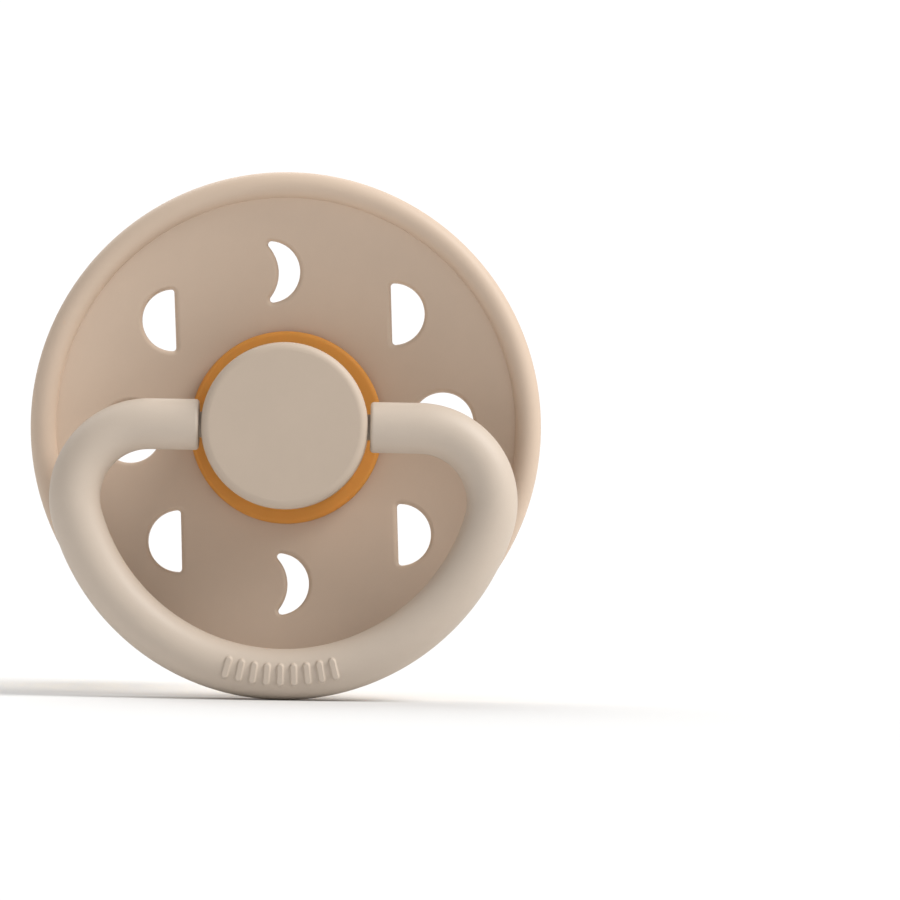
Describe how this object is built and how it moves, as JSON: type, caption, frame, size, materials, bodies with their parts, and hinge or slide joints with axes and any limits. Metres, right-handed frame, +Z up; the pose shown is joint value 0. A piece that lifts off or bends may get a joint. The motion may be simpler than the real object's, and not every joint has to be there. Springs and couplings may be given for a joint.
{
  "type": "pacifier",
  "caption": "Round-shield pacifier with a hollow latex nipple, shaped vent holes, a front button and a swinging D-ring handle.",
  "frame": {"origin": "on the nipple's axis, in the plane of the shield's widest line", "axes": "+Y along the nipple, towards its tip; +Z up with the handle hanging down; the handle swings about a line parallel to X"},
  "size_m": [0.044, 0.0382, 0.0453],
  "materials": {
    "shield_plastic": "fine matte, warm beige",
    "trim_plastic": "fine matte, greyer beige",
    "stopper_plastic": "plain moulded, beige",
    "latex": "smooth satin, translucent amber"
  },
  "bodies": {
    "core": {"nipple": "latex", "stopper": "stopper_plastic", "button": "trim_plastic"},
    "shield": {"shield": "shield_plastic"},
    "handle": {"handle": "trim_plastic"}
  },
  "joints": [
    {"name": "handle_swing", "type": "hinge", "parent": "core", "child": "handle", "pos_m": [0, -0.00518, 0], "axis": [-1, 0, 0], "range_deg": [-4, 184]},
    {"name": "shield_turn", "type": "hinge", "parent": "core", "child": "shield", "pos_m": [0, 0, 0], "axis": [0, 1, 0], "continuous": true}
  ]
}
